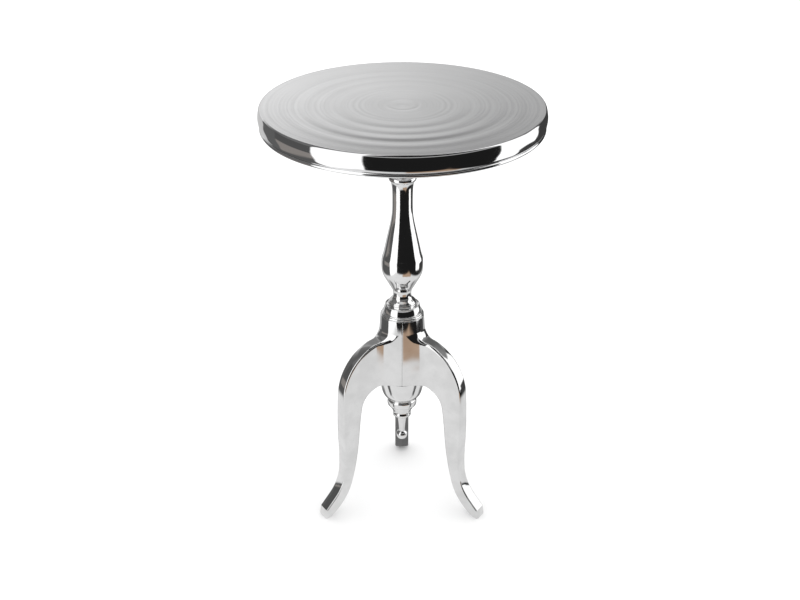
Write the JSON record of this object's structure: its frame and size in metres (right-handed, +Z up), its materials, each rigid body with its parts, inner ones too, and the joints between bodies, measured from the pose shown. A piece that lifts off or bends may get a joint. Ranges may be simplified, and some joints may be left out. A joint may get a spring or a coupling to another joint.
{
  "type": "pedestal side table",
  "caption": "Round occasional table of polished aluminium: flat turned top with a bullnose rim, vase-shaped pedestal, tripod of cabriole legs and a hanging pendant.",
  "frame": {"origin": "on the floor, on the axis of the pedestal", "axes": "+Z up along the pedestal; -Y is the front, between the two front legs; the rear leg points along +Y"},
  "size_m": [0.38, 0.38, 0.6],
  "materials": {
    "aluminium_spun_top": "turned satin top with a mirror-polished rim",
    "aluminium_turned": "lathe-turned and mirror polished",
    "aluminium_polished": "sand cast, ground and buffed bright",
    "steel_zinc": "zinc-plated steel hardware"
  },
  "bodies": {
    "root": {"table_top": "aluminium_spun_top", "mounting_flange": "aluminium_turned", "flange_screws": "steel_zinc", "capital": "aluminium_turned", "shaft": "aluminium_turned", "stepped_cap": "aluminium_turned", "hub_core": "aluminium_turned", "leg_front_left": "aluminium_polished", "leg_front_right": "aluminium_polished", "leg_rear": "aluminium_polished", "upper_pins": "steel_zinc", "lower_pins": "steel_zinc", "clamp_plate": "steel_zinc", "lower_spring_washer": "steel_zinc", "lower_nut": "steel_zinc", "upper_washer": "steel_zinc", "upper_nut": "steel_zinc", "tie_rod": "steel_zinc", "bowl": "aluminium_turned", "pendant_collar": "aluminium_turned", "pendant_drop": "aluminium_turned"}
  },
  "joints": []
}
